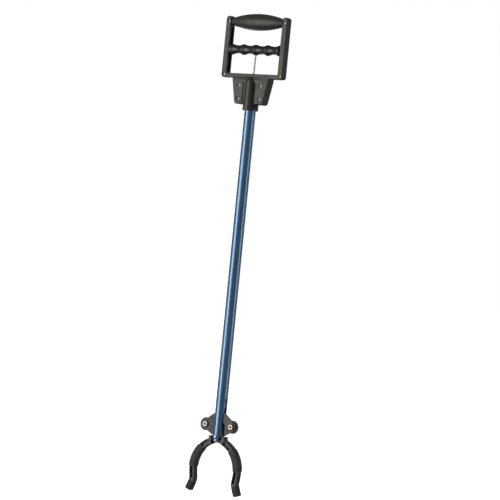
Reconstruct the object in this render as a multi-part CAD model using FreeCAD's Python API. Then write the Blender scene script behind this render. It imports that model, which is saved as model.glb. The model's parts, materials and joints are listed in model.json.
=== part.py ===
import FreeCAD, Part
import math
import os

Vec = FreeCAD.Vector

# Hand-held pick-up reacher.  Millimetres.  +Z runs up the tube towards the handle, X lies across the
# handle and in the plane in which the jaws open, and -Y is the front.  The origin is the centre of the
# palm grip.  All parts stand with the jaws fully open, which is how the return spring leaves them.

# ---- handle frame: a two-shell D handle, parted on the plane Y = 0 ----
rail_spacing = 113.6
rail_width = 10.0
rail_depth = 13.0
rail_top = 9.0
crossbar_top = -85.5
crossbar_bottom = -93.0
corner_screw_z = -87.8
yoke_depth = 17.0
yoke_top_half = 37.1
yoke_bottom_half = 28.3
yoke_bottom = -136.0
yoke_slope_top = -88.0
yoke_slope_bottom = -96.0
yoke_root_sink = 0.2
shell_wall = 2.6
corner_radius = 4.8
edge_round = 1.4
screw_spread = 21.5
screw_rows = (-105.0, -127.0)
screw_boss_radius = 4.2

# ---- collar and half-round boss that hold the tube ----
collar_wall = 3.475
collar_bottom = -146.0
collar_root = 6.0
boss_lip = 0.275
boss_shift = 4.2
boss_top = -90.5
boss_groove = 1.5
boss_groove_depth = 1.6
socket_top = -100.0

# ---- palm grip and its core bar ----
grip_middle_radius = 13.85
grip_end_radius = 5.9
core_radius = 4.0
core_end_inset = 3.0

# ---- finger bar ----
bar_z = -45.8
bar_ridge_radius = 9.0
bar_valley_radius = 6.9
bar_ridge_pitch = 24.3
bar_ridge_flat = 2.2
bar_end_flange = 4.6
bar_end_round = 1.8
tenon_radius = 2.8
channel_half = 3.25
bar_rod_clearance = 0.8
shoe_height = 18.0
shoe_corner = 1.2
stroke = 18.0
channel_bottom = -83.0
channel_overrun = 8.8

# ---- screws ----
screw_radius = 1.75
screw_head_radius = 2.9
screw_head_height = 1.8
screw_head_round = 0.6
screw_recess = 2.2
screw_cross_length = 3.2
screw_cross_width = 0.7
screw_cross_depth = 1.1
screw_end_wall = 2.4

# ---- tube ----
tube_radius = 9.525
tube_wall = 1.25
tube_tip = -690.8
slot_length = 72.5
tongue_radius = 7.0
tongue_taper = 9.0
dowel_radius = 2.0
dowel_z = -118.0
dowel_end = 1.1

# ---- pull rod, bushes and return spring ----
rod_radius = 1.6
nut_flats = 7.0
nut_height = 5.0
upper_bush_length = 12.0
upper_bush_flange = 1.5
spring_length = 52.0
spring_slack = 2.875
spring_wire = 0.55
spring_turns = 11
stop_slack = 1.675
stop_height = 4.0
lower_bush_height = 112.8
lower_bush_length = 16.0
vent_radius = 1.2
vent_spread = 5.0

# ---- jaw linkage (heights measured up from the tube tip) ----
pivot_height = 7.0
pivot_radius = 2.4
pivot_head_radius = 3.6
pivot_head_height = 1.5
spot_face_drop = 0.35
spacer_radius = 4.5
ear_spread = 26.1
ear_height = 25.65
ear_lobe = 10.8
clevis_height = 48.2
clevis_pin_radius = 2.0
clevis_pin_end = 0.6
clevis_cheek = 2.4
clevis_half_width = 4.9
clevis_slack = 1.075
clevis_neck = 8.5
clevis_seat = 2.0
clevis_rounding = 0.9
clevis_top = 17.0
lock_nut_height = 3.0
layer = 2.7
layer_gap = 0.1
link_ear_radius = 8.0
link_pin_radius = 5.2
ear_boss_radius = 5.5
ear_boss_reach = 5.0
rivet_radius = 2.6
rivet_bore = 1.5
rivet_flange_radius = 4.3
rivet_flange = 0.7
rivet_roll = 0.56
eye_slack = 0.95

# ---- jaw arms ----
hub_radius = 9.0
arm_width = 9.4
arm_depth = 11.0
arm_bend = 49.2
arm_crown_x = -4.4
arm_top = 2.2
arm_root = 2.4
arm_turn_in = 8.0
arm_straight = 9.5
arm_flare_radius = 14.0
arm_flare_angle = 30.0
arm_end = 14.6
shoulder_gap = 1.075
shoulder_width = 5.0
shoulder_top = 8.3
shoulder_bottom = -5.2
shoulder_slope = 0.8
shoulder_corner = 0.8
web_overlap = 1.0
pocket_rim = 1.7
pocket_web = 3.4
sleeve_from = 46.0
sleeve_to = 88.0
sleeve_wall = 1.1
pocket_margin = 2.0
tip_inset = 0.9
tip_wide = 0.3
tip_deep = 0.2

# ---- clearances ----
running = 0.05
sliding = 0.25
bore_fit = 0.03
plate_gap = 0.3
grip_end_gap = 0.1
shoe_gap = 0.2
screw_seat_gap = 0.1
spacer_gap = 0.02

# ---- cutting tools: how far one runs past what it cuts, and a reach beyond every piece ----
past = 1.0
beyond = 100.0

rail_x = rail_spacing / 2
rail_inner = rail_x - rail_width / 2
rail_outer = rail_x + rail_width / 2
bar_end = rail_inner - 2 * sliding
collar_radius = tube_radius + collar_wall
boss_radius = tube_radius + boss_lip
bore_radius = tube_radius - tube_wall
spring_top = socket_top - upper_bush_flange - upper_bush_length
spring_bottom = spring_top - spring_length
plate_back = layer + layer_gap
cheek_face = plate_back + plate_gap
slot_width = 2 * cheek_face
pivot_z = tube_tip + pivot_height
ear_z = tube_tip + ear_height
clevis_z = tube_tip + clevis_height
shoulder_inner = tube_radius + shoulder_gap
shoulder_outer = shoulder_inner + shoulder_width
arm_crown_z = tube_tip + arm_top - arm_bend
arm_start = math.degrees(math.asin((shoulder_inner + arm_root - arm_crown_x) / arm_bend))


def box(x0, x1, y0, y1, z0, z1):
    return Part.makeBox(x1 - x0, y1 - y0, z1 - z0, Vec(x0, y0, z0))


def rod_z(radius, z0, z1, x=0.0, y=0.0):
    return Part.makeCylinder(radius, z1 - z0, Vec(x, y, z0), Vec(0, 0, 1))


def rod_y(radius, y0, y1, x=0.0, z=0.0):
    return Part.makeCylinder(radius, y1 - y0, Vec(x, y0, z), Vec(0, 1, 0))


def rod_x(radius, x0, x1, z=0.0):
    return Part.makeCylinder(radius, x1 - x0, Vec(x0, 0, z), Vec(1, 0, 0))


def prism(points, y0, y1):
    """Extrude a closed outline given as (x, z) points from y0 to y1."""
    corners = [Vec(x, y0, z) for x, z in points]
    face = Part.Face(Part.makePolygon(corners + corners[:1]))
    return face.extrude(Vec(0, y1 - y0, 0))


def join(*shapes):
    return shapes[0].multiFuse(list(shapes[1:])).removeSplitter()


def mirrored(shape):
    return shape.mirror(Vec(0, 0, 0), Vec(1, 0, 0))


def half_turn(shape):
    return shape.rotated(Vec(0, 0, 0), Vec(0, 0, 1), 180)


def round_edges(shape, radius, wanted):
    """Fillet the edges for which wanted(edge) holds."""
    edges = [edge for edge in shape.Edges if wanted(edge)]
    return shape.makeFillet(radius, edges)


def same(a, b):
    return abs(a - b) < 1e-6


def front_to_back(edge):
    ends = [vertex.Point for vertex in edge.Vertexes]
    return len(ends) == 2 and same(ends[0].x, ends[1].x) and same(ends[0].z, ends[1].z)


def on_face(edge, depth):
    return all(same(abs(vertex.Point.y), depth) for vertex in edge.Vertexes)


def hexagon(across_flats, z0, z1):
    radius = across_flats / math.sqrt(3)
    corners = [Vec(radius * math.cos(math.radians(60 * i)), radius * math.sin(math.radians(60 * i)), z0)
               for i in range(7)]
    return Part.Face(Part.makePolygon(corners)).extrude(Vec(0, 0, z1 - z0))


def write(name, shape):
    shape.exportStep("parts/" + name + ".step")


# ---- handle shells ----

def rail_frame():
    """The two rails and the crossbar, a U that is open at the top."""
    outline = [(-rail_outer, rail_top), (-rail_outer, crossbar_bottom), (rail_outer, crossbar_bottom),
               (rail_outer, rail_top), (rail_inner, rail_top), (rail_inner, crossbar_top),
               (-rail_inner, crossbar_top), (-rail_inner, rail_top)]
    half = rail_depth / 2
    solid = prism(outline, -half, half)

    def outer_corner(edge):
        return front_to_back(edge) and not same(edge.CenterOfMass.z, crossbar_top)

    solid = round_edges(solid, corner_radius, outer_corner)
    return round_edges(solid, edge_round, lambda edge: on_face(edge, half))


def yoke_block():
    """The tapered yoke under the crossbar, with its front and back sloping out of the crossbar."""
    half = yoke_depth / 2
    root = rail_depth / 2 - yoke_root_sink
    outline = [(-yoke_top_half, yoke_slope_top), (-yoke_top_half, crossbar_bottom),
               (-yoke_bottom_half, yoke_bottom), (yoke_bottom_half, yoke_bottom),
               (yoke_top_half, crossbar_bottom), (yoke_top_half, yoke_slope_top)]
    solid = prism(outline, -half, half)

    def bottom_corner(edge):
        return front_to_back(edge) and same(edge.CenterOfMass.z, yoke_bottom)

    solid = round_edges(solid, corner_radius, bottom_corner)
    side = [Vec(-rail_outer, y, z) for y, z in (
        (-root, yoke_slope_top), (-half, yoke_slope_bottom), (-half, yoke_bottom),
        (half, yoke_bottom), (half, yoke_slope_bottom), (root, yoke_slope_top))]
    profile = Part.Face(Part.makePolygon(side + side[:1])).extrude(Vec(2 * rail_outer, 0, 0))
    solid = solid.common(profile)

    def rim(edge):
        spot = edge.CenterOfMass
        if front_to_back(edge) or abs(spot.y) <= root:
            return False
        return same(spot.z, yoke_bottom) or not same(edge.BoundBox.ZLength, 0)

    return round_edges(solid, edge_round, rim)


def boss():
    """Half-round bosses that carry the tube's outline up the front and the back of the yoke."""
    crown_z = boss_top - boss_radius
    front = rod_z(boss_radius, collar_bottom, crown_z, 0, -boss_shift)
    front = join(front, Part.makeSphere(boss_radius, Vec(0, -boss_shift, crown_z)))
    return join(front, half_turn(front))


def boss_grooves():
    """A narrow groove along each side of each boss."""
    face = yoke_depth / 2
    x0 = math.sqrt(boss_radius ** 2 - (face - boss_shift) ** 2)
    bottom = -face + boss_groove_depth
    groove = box(x0, x0 + boss_groove, -beyond, bottom, collar_bottom, boss_top - boss_radius)
    groove = join(groove, mirrored(groove))
    return join(groove, half_turn(groove))


def yoke_pocket():
    """Hollow of the yoke on the +X side, between the tube socket and the outer wall."""
    half = yoke_depth / 2 - shell_wall
    slope = (yoke_top_half - yoke_bottom_half) / (crossbar_bottom - yoke_bottom)
    inner = boss_radius + shell_wall

    def outer(z):
        return yoke_bottom_half + slope * (z - yoke_bottom) - shell_wall

    bottom = yoke_bottom + shell_wall
    corners = [(inner, socket_top), (inner, bottom), (outer(bottom), bottom), (outer(socket_top), socket_top)]
    pocket = prism(corners, -half, half)
    for z in screw_rows:
        pocket = pocket.cut(rod_y(screw_boss_radius, -beyond, beyond, screw_spread, z))
    return pocket


def screw_places():
    corners = [(side * rail_x, z, rail_depth / 2) for side in (-1, 1) for z in (0.0, corner_screw_z)]
    yoke = [(side * screw_spread, z, yoke_depth / 2) for side in (-1, 1) for z in screw_rows]
    return corners, yoke


def screw(x, z, face):
    """Cross-recessed pan-head screw driven from the front face into the back shell."""
    head_front = -face + screw_recess - screw_head_height
    head = rod_y(screw_head_radius, head_front, head_front + screw_head_height, x, z)
    head = round_edges(head, screw_head_round, lambda edge: same(edge.CenterOfMass.y, head_front))
    shank = rod_y(screw_radius, head_front + screw_head_height, face - screw_end_wall, x, z)
    long = screw_cross_length / 2
    narrow = screw_cross_width / 2
    floor = head_front + screw_cross_depth
    upright_slot = box(x - narrow, x + narrow, head_front - past, floor, z - long, z + long)
    level_slot = box(x - long, x + long, head_front - past, floor, z - narrow, z + narrow)
    return join(head, shank).cut(upright_slot).cut(level_slot)


def screw_hole(x, z, face):
    recess = rod_y(screw_head_radius + plate_gap, -face - past, -face + screw_recess, x, z)
    shank = rod_y(screw_radius + bore_fit, -face, face - screw_end_wall, x, z)
    return join(recess, shank)


def guide_channel():
    """Channel in the inner side of the +X rail, in which the finger bar's shoe slides."""
    top = bar_z + shoe_height / 2 + stroke + channel_overrun
    return box(rail_inner - past, rail_outer - shell_wall, -channel_half, channel_half, channel_bottom, top)


def core_socket():
    return rod_x(core_radius + bore_fit, rail_inner - past, rail_outer - core_end_inset + grip_end_gap)


def make_shells():
    collar = rod_z(collar_radius, collar_bottom, yoke_bottom + collar_root)
    solid = join(rail_frame(), yoke_block(), collar, boss()).cut(boss_grooves())
    corners, yoke = screw_places()
    dowel_end_x = boss_radius + shell_wall + dowel_end
    cuts = [screw_hole(*place) for place in corners + yoke]
    cuts.append(rod_z(tube_radius + bore_fit, collar_bottom - past, socket_top))
    cuts.append(rod_z(rod_radius + bar_rod_clearance, socket_top - past, crossbar_top + past))
    cuts.append(rod_x(dowel_radius + bore_fit, -dowel_end_x, dowel_end_x, dowel_z))
    for shape in (yoke_pocket(), guide_channel(), core_socket()):
        cuts += [shape, mirrored(shape)]
    for shape in cuts:
        solid = solid.cut(shape)
    low = collar_bottom - past
    high = rail_top + past
    write("front_shell", solid.common(box(-beyond, beyond, -beyond, 0, low, high)))
    write("rear_shell", solid.common(box(-beyond, beyond, 0, beyond, low, high)))


def make_screws():
    corners, yoke = screw_places()
    write("corner_screws", Part.Compound([screw(*place) for place in corners]))
    write("yoke_screws", Part.Compound([screw(*place) for place in yoke]))


# ---- palm grip ----

def make_palm_grip():
    length = rail_inner - grip_end_gap
    start = Vec(-length, 0, grip_end_radius)
    end = Vec(length, 0, grip_end_radius)
    crown = Part.Arc(start, Vec(0, 0, grip_middle_radius), end).toShape()
    left = Vec(-length, 0, 0)
    right = Vec(length, 0, 0)
    profile = Part.Wire([Part.makeLine(left, start), crown, Part.makeLine(end, right), Part.makeLine(right, left)])
    grip = Part.Face(profile).revolve(Vec(0, 0, 0), Vec(1, 0, 0), 360)
    write("palm_grip", grip.cut(rod_x(core_radius, -length - past, length + past)))
    core = rod_x(core_radius, -rail_outer + core_end_inset, rail_outer - core_end_inset)
    for side in (-1, 1):
        core = core.cut(rod_y(screw_radius + bore_fit, -beyond, beyond, side * rail_x, 0))
    write("grip_core", core)


# ---- finger bar, its guide shoes and the rod's nut ----

def bar_profile():
    """Half outline of the scalloped bar, from its middle out to +X: ridge and valley in turn."""
    edges = []
    last = Vec(0, 0, bar_ridge_radius)
    flange = bar_end - bar_end_flange
    for ridge in (0.0, bar_ridge_pitch):
        crest = Vec(ridge + bar_ridge_flat / 2, 0, bar_ridge_radius)
        edges.append(Part.makeLine(last, crest))
        far = min(ridge + bar_ridge_pitch - bar_ridge_flat / 2, flange)
        last = Vec(far, 0, bar_ridge_radius)
        edges.append(Part.Arc(crest, Vec((crest.x + far) / 2, 0, bar_valley_radius), last).toShape())
    shoulder = Vec(bar_end - bar_end_round, 0, bar_ridge_radius)
    face = Vec(bar_end, 0, bar_ridge_radius - bar_end_round)
    bend = bar_end_round * (1 - math.sqrt(0.5))
    edges.append(Part.makeLine(last, shoulder))
    edges.append(Part.Arc(shoulder, Vec(bar_end - bend, 0, bar_ridge_radius - bend), face).toShape())
    for start, end in ((face, Vec(bar_end, 0, 0)), (Vec(bar_end, 0, 0), Vec(0, 0, 0)),
                       (Vec(0, 0, 0), Vec(0, 0, bar_ridge_radius))):
        edges.append(Part.makeLine(start, end))
    return Part.Face(Part.Wire(edges))


def make_finger_bar():
    half = bar_profile().revolve(Vec(0, 0, 0), Vec(1, 0, 0), 360)
    bar = join(half, mirrored(half)).translated(Vec(0, 0, bar_z))
    nut_bottom = bar_z - nut_height / 2
    nut_top = bar_z + nut_height / 2
    nut = hexagon(nut_flats, nut_bottom, nut_top)
    bar = join(bar, rod_x(tenon_radius, -rail_x, rail_x, bar_z))
    bar = bar.cut(nut).cut(rod_z(rod_radius + bore_fit, bar_z - bar_ridge_radius - past, nut_top))
    write("finger_bar", bar)
    write("rod_nut", nut.cut(rod_z(rod_radius, nut_bottom - past, nut_top + past)))
    side = channel_half - sliding
    shoe = box(bar_end + shoe_gap, rail_outer - shell_wall - sliding, -side, side,
               bar_z - shoe_height / 2, bar_z + shoe_height / 2)
    shoe = round_edges(shoe, shoe_corner, front_to_back).cut(rod_x(tenon_radius, 0, rail_x, bar_z))
    write("right_guide_shoe", shoe)
    write("left_guide_shoe", mirrored(shoe))


# ---- tube, dowels and bushes ----

def tongue_outline():
    """Everything that the tapered, rounded tube end keeps, seen from the front."""
    wide = tube_radius + past
    distance = math.hypot(wide, tongue_taper)
    lean = math.asin(tongue_radius / distance) - math.atan2(wide, tongue_taper) + math.pi / 2
    touch_x = tongue_radius * math.sin(lean)
    touch_z = pivot_z - tongue_radius * math.cos(lean)
    top = pivot_z + tongue_taper
    sides = [(wide, top), (touch_x, touch_z), (-touch_x, touch_z), (-wide, top),
             (-wide, socket_top + past), (wide, socket_top + past)]
    return join(prism(sides, -beyond, beyond), rod_y(tongue_radius, -beyond, beyond, 0, pivot_z))


def make_tube():
    tube = rod_z(tube_radius, tube_tip, socket_top).common(tongue_outline())
    half = slot_width / 2
    slot_top = tube_tip + slot_length - half
    seat = tube_radius - spot_face_drop
    spot_radius = pivot_head_radius + screw_seat_gap
    cuts = [rod_z(bore_radius, tube_tip - past, socket_top + past),
            box(-beyond, beyond, -half, half, tube_tip - past, slot_top),
            rod_x(half, -beyond, beyond, slot_top),
            rod_y(pivot_radius, -beyond, beyond, 0, pivot_z),
            rod_y(spot_radius, -beyond, -seat, 0, pivot_z),
            rod_y(spot_radius, seat, beyond, 0, pivot_z),
            rod_x(dowel_radius + bore_fit, -beyond, beyond, dowel_z)]
    for shape in cuts:
        tube = tube.cut(shape)
    write("tube", tube)
    dowel = rod_x(dowel_radius, bore_radius, boss_radius + shell_wall + dowel_end, dowel_z)
    write("tube_dowels", Part.Compound([dowel, mirrored(dowel)]))


def make_bushes():
    rod_hole = rod_z(rod_radius + running, tube_tip, socket_top + past)
    upper = rod_z(bore_radius, spring_top, socket_top)
    write("upper_bush", upper.cut(rod_hole))
    top = tube_tip + lower_bush_height
    bottom = top - lower_bush_length
    lower = rod_z(bore_radius, bottom, top).cut(rod_hole)
    for side in (-1, 1):
        lower = lower.cut(rod_z(vent_radius, bottom - past, top + past, side * vent_spread))
    write("lower_bush", lower)


# ---- pull rod, spring and clevis ----

def make_spring():
    radius = bore_radius - spring_slack
    rise = spring_length - 2 * spring_wire
    low = spring_bottom + spring_wire
    helix = Part.makeHelix(rise / spring_turns, rise, radius).translated(Vec(0, 0, low))
    section = Part.Circle(Vec(radius, 0, low), Vec(0, 1, 0), spring_wire).toShape()
    write("return_spring", Part.Wire(helix).makePipeShell([Part.Wire(section)], True, True))
    stop_bottom = spring_bottom - stop_height
    stop = rod_z(bore_radius - stop_slack, stop_bottom, spring_bottom)
    write("spring_stop", stop.cut(rod_z(rod_radius, stop_bottom - past, spring_bottom + past)))


def make_rod():
    write("pull_rod", rod_z(rod_radius, clevis_z + clevis_neck - clevis_seat, bar_z + nut_height / 2))


def make_clevis():
    back = cheek_face + clevis_cheek
    neck = clevis_z + clevis_neck
    top = clevis_z + clevis_top
    cheek = box(-clevis_half_width, clevis_half_width, cheek_face, back, clevis_z - clevis_half_width, neck)

    def bottom_corner(edge):
        return front_to_back(edge) and edge.CenterOfMass.z < clevis_z

    cheek = round_edges(cheek, clevis_half_width * clevis_rounding, bottom_corner)
    cheek = cheek.common(rod_z(bore_radius - plate_gap, clevis_z - clevis_half_width, neck))
    body = rod_z(bore_radius - clevis_slack, neck - clevis_seat, top)
    solid = join(cheek, half_turn(cheek), body)
    solid = solid.cut(rod_z(rod_radius, neck - clevis_seat, top + past))
    write("clevis", solid.cut(rod_y(clevis_pin_radius, -beyond, beyond, 0, clevis_z)))
    write("clevis_pin", rod_y(clevis_pin_radius, -back - clevis_pin_end, back + clevis_pin_end, 0, clevis_z))
    nut = hexagon(nut_flats, top, top + lock_nut_height)
    write("lock_nut", nut.cut(rod_z(rod_radius, top - past, top + lock_nut_height + past)))


# ---- links, rivets and the pivot ----

def strap(x0, z0, r0, x1, z1, r1, y0, y1):
    """A plate with two round ends and straight tangent sides."""
    length = math.hypot(x1 - x0, z1 - z0)
    along = math.atan2(z1 - z0, x1 - x0)
    lean = math.acos((r0 - r1) / length)
    corners = []
    for x, z, radius, side in ((x0, z0, r0, 1), (x1, z1, r1, 1), (x1, z1, r1, -1), (x0, z0, r0, -1)):
        angle = along + side * lean
        corners.append((x + radius * math.cos(angle), z + radius * math.sin(angle)))
    return join(prism(corners, y0, y1), rod_y(r0, y0, y1, x0, z0), rod_y(r1, y0, y1, x1, z1))


def make_links():
    """The right link lies in the front layer and the left link is the same piece half turned."""
    plate = strap(ear_spread, ear_z, link_ear_radius, 0, clevis_z, link_pin_radius, -plate_back, -layer_gap)
    ear_boss = rod_y(ear_boss_radius, -ear_boss_reach + layer_gap, -plate_back, ear_spread, ear_z)
    link = join(plate, ear_boss)
    link = link.cut(rod_y(rivet_radius + eye_slack, -beyond, beyond, ear_spread, ear_z))
    link = link.cut(rod_y(clevis_pin_radius + running, -beyond, beyond, 0, clevis_z))
    write("right_link", link)
    write("left_link", half_turn(link))


def make_rivets():
    """Tubular rivets with a rolled flange at each end, one through each ear."""
    end = ear_boss_reach + rivet_flange
    for name, side in (("left_ear_rivet", -1), ("right_ear_rivet", 1)):
        x = side * ear_spread
        solid = rod_y(rivet_radius, -end, end, x, ear_z)
        for y in (-end, ear_boss_reach):
            flange = rod_y(rivet_flange_radius, y, y + rivet_flange, x, ear_z)
            flange = round_edges(flange, rivet_roll, lambda edge: same(abs(edge.CenterOfMass.y), end))
            solid = join(solid, flange)
        write(name, solid.cut(rod_y(rivet_bore, -beyond, beyond, x, ear_z)))


def make_pivot():
    seat = tube_radius - spot_face_drop
    front = -seat - pivot_head_height
    dome_radius = (pivot_head_radius ** 2 + pivot_head_height ** 2) / (2 * pivot_head_height)
    dome = Part.makeSphere(dome_radius, Vec(0, front + dome_radius, pivot_z))
    dome = dome.common(rod_y(pivot_head_radius, front, -seat, 0, pivot_z))
    write("pivot_pin", join(rod_y(pivot_radius, -seat, seat, 0, pivot_z), dome, half_turn(dome)))
    ring = rod_y(spacer_radius, -bore_radius, -plate_back - plate_gap / 2, 0, pivot_z)
    ring = ring.cut(rod_y(pivot_radius, -beyond, beyond, 0, pivot_z))
    ring = ring.common(rod_z(bore_radius - spacer_gap, pivot_z - beyond, pivot_z + beyond))
    write("pivot_spacers", Part.Compound([ring, half_turn(ring)]))


# ---- jaws ----

class Track:
    """Centre line of the right-hand arm, seen from the front, with the two edges that follow it."""

    def __init__(self, x, z, heading):
        self.x = x
        self.z = z
        self.heading = heading
        self.pieces = []

    def point(self, x, z, heading, offset):
        """A point at an offset to the outer side of the centre line."""
        angle = math.radians(heading)
        return Vec(x + offset * math.sin(angle), 0, z + offset * math.cos(angle))

    def straight(self, length):
        self.pieces.append((self.x, self.z, self.heading, length, 0.0))
        angle = math.radians(self.heading)
        self.x += length * math.cos(angle)
        self.z -= length * math.sin(angle)

    def bend(self, radius, degrees):
        """Turn inwards for positive degrees and outwards for negative."""
        self.pieces.append((self.x, self.z, self.heading, radius, degrees))
        side = math.copysign(radius, degrees)
        centre = self.point(self.x, self.z, self.heading, -side)
        self.heading += degrees
        end = self.point(centre.x, centre.z, self.heading, side)
        self.x = end.x
        self.z = end.z

    def edge(self, offset):
        """The curve at an offset from the centre line, as a list of edges from start to end."""
        edges = []
        for x, z, heading, size, degrees in self.pieces:
            angle = math.radians(heading)
            start = self.point(x, z, heading, offset)
            if degrees == 0.0:
                step = Vec(size * math.cos(angle), 0, -size * math.sin(angle))
                edges.append(Part.makeLine(start, start.add(step)))
                continue
            side = math.copysign(size, degrees)
            centre = self.point(x, z, heading, -side)
            middle = self.point(centre.x, centre.z, heading + degrees / 2, side + offset)
            end = self.point(centre.x, centre.z, heading + degrees, side + offset)
            edges.append(Part.Arc(start, middle, end).toShape())
        return edges

    def ribbon(self, width, depth, centre_y=0.0):
        """A bar of rectangular section that follows the centre line."""
        outer = self.edge(width / 2)
        inner = self.edge(-width / 2)
        first = Part.makeLine(inner[0].Vertexes[0].Point, outer[0].Vertexes[0].Point)
        last = Part.makeLine(outer[-1].Vertexes[-1].Point, inner[-1].Vertexes[-1].Point)
        wire = Part.Wire(Part.__sortEdges__([first] + outer + [last] + inner))
        face = Part.Face(wire)
        face.translate(Vec(0, centre_y - depth / 2, 0))
        return face.extrude(Vec(0, depth, 0))


def bow_track(start, end):
    """The stretch of the arm's main bow between two headings, each in degrees below level."""
    angle = math.radians(start)
    track = Track(arm_crown_x + arm_bend * math.sin(angle), arm_crown_z + arm_bend * math.cos(angle), start)
    track.bend(arm_bend, end - start)
    return track


def lower_track():
    """The pocketed stretch below the sleeve: end of the bow, the straight run and the start of the flare."""
    track = bow_track(sleeve_to + pocket_margin / 2, 90 + arm_turn_in)
    track.straight(arm_straight)
    track.bend(arm_flare_radius, -arm_flare_angle / 3)
    return track


def whole_track():
    track = bow_track(arm_start, 90 + arm_turn_in)
    track.straight(arm_straight)
    track.bend(arm_flare_radius, -arm_flare_angle)
    return track


def tip_track(length):
    arm = whole_track()
    track = Track(arm.x, arm.z, arm.heading)
    track.straight(length)
    return track


def tip_core():
    """The stub at the arm's end that the rubber tip is pushed onto."""
    return tip_track(arm_end).ribbon(arm_width - 2 * tip_inset, arm_depth - 2 * tip_inset)


def jaw_plate(y0, y1):
    """The thin plate: hub, ear on the left and web to the arm on the right."""
    tip = tube_tip
    hub = rod_y(hub_radius, y0, y1, 0, pivot_z)
    lobe = rod_y(ear_lobe, y0, y1, -ear_spread, ear_z)
    ear = prism([(-ear_spread + 1.5, ear_z + ear_lobe - 0.1), (-18.0, tip + 37.0), (-7.2, tip + 34.8),
                 (-2.5, tip + 31.0), (2.0, tip + 14.5), (-7.5, tip + 7.4), (-9.2, tip + 8.3),
                 (-ear_spread + 4.0, ear_z - ear_lobe + 0.8)], y0, y1)
    far = shoulder_inner + web_overlap
    web = prism([(0.0, pivot_z + hub_radius - web_overlap), (far, tip + shoulder_top), (far, tip - 5.0),
                 (7.5, tip - 3.9), (0.0, pivot_z - hub_radius)], y0, y1)
    return join(hub, lobe, ear, web)


def jaw_shoulder(half):
    """The full-depth block between the thin plate and the arm."""
    top = tube_tip + shoulder_top
    bottom = tube_tip + shoulder_bottom
    block = prism([(shoulder_inner, bottom), (shoulder_inner, top), (shoulder_outer, top),
                   (shoulder_outer, bottom - shoulder_slope)], -half, half)
    return round_edges(block, shoulder_corner, lambda edge: front_to_back(edge) and same(edge.CenterOfMass.z, top))


def make_jaws():
    """The right jaw has its hub in the front layer, its ear on the left and its arm on the right."""
    half = arm_depth / 2
    arm = join(whole_track().ribbon(arm_width, arm_depth), tip_core())
    ear_boss = rod_y(ear_boss_radius, -ear_boss_reach, -layer, -ear_spread, ear_z)
    jaw = join(jaw_plate(-plate_back, -layer_gap), jaw_shoulder(half), arm, ear_boss)
    pocket_depth = (arm_depth - pocket_web) / 2
    for track in (bow_track(arm_start + pocket_margin, sleeve_from - 1.5 * pocket_margin), lower_track()):
        for side in (-1, 1):
            jaw = jaw.cut(track.ribbon(arm_width - 2 * pocket_rim, pocket_depth, side * (half - pocket_depth / 2)))
    jaw = jaw.cut(rod_y(pivot_radius + running, -beyond, beyond, 0, pivot_z))
    jaw = jaw.cut(rod_y(rivet_radius, -beyond, beyond, -ear_spread, ear_z))
    bow = bow_track(sleeve_from, sleeve_to)
    sleeve = bow.ribbon(arm_width + 2 * sleeve_wall, arm_depth + 2 * sleeve_wall)
    sleeve = sleeve.cut(bow.ribbon(arm_width, arm_depth))
    tip = tip_track(arm_end + tip_inset).ribbon(arm_width + 2 * tip_wide, arm_depth + 2 * tip_deep).cut(tip_core())
    for name, shape in (("jaw", jaw), ("sleeve", sleeve), ("tip", tip)):
        write("right_" + name, shape)
        write("left_" + name, half_turn(shape))


os.makedirs("parts", exist_ok=True)
make_shells()
make_screws()
make_palm_grip()
make_finger_bar()
make_tube()
make_bushes()
make_spring()
make_rod()
make_clevis()
make_links()
make_rivets()
make_pivot()
make_jaws()
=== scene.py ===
import json
import math
import bmesh
import bpy
from mathutils import Matrix, Quaternion, Vector


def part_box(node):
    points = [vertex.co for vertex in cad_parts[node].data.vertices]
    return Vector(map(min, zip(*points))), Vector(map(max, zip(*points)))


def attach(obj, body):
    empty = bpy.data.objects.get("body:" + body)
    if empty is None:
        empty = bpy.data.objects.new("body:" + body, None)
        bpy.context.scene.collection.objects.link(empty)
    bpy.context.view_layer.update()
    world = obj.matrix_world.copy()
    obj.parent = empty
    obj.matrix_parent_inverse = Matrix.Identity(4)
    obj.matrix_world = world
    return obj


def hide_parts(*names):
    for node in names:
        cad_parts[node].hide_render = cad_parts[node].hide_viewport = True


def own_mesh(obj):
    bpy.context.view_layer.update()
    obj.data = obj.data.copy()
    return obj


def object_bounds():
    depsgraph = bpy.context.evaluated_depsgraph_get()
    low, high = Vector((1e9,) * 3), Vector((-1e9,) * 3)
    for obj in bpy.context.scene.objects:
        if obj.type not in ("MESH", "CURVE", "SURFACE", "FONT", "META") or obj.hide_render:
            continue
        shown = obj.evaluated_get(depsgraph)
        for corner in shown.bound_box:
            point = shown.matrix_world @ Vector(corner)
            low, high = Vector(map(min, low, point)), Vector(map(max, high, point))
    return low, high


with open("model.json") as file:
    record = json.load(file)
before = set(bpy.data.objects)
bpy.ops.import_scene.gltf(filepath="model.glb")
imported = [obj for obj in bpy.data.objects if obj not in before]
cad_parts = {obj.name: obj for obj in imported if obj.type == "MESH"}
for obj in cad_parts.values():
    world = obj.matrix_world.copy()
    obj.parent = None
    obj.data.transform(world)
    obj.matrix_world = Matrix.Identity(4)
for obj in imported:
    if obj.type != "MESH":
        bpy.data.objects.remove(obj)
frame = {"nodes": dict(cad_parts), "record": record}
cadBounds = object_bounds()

# A pick-up reacher: D handle, sliding finger bar, blue tube and scissor jaws. Metres throughout.
mm = 0.001
fullTurn = 2 * math.pi
weld = 0.001 * mm                  # points closer than this are one
flatTurn = math.radians(0.5)       # faces that turn by less than this are one
print("frame loaded,", len(frame["nodes"]), "nodes")


# Short ways to add shader nodes and join them.

def newMaterial(name):
    material = bpy.data.materials.new(name)
    material.use_nodes = True
    material.node_tree.nodes.clear()
    shader = material.node_tree.nodes.new("ShaderNodeBsdfPrincipled")
    output = material.node_tree.nodes.new("ShaderNodeOutputMaterial")
    wire(material, shader, "BSDF", output, "Surface")
    return material, shader


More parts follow.
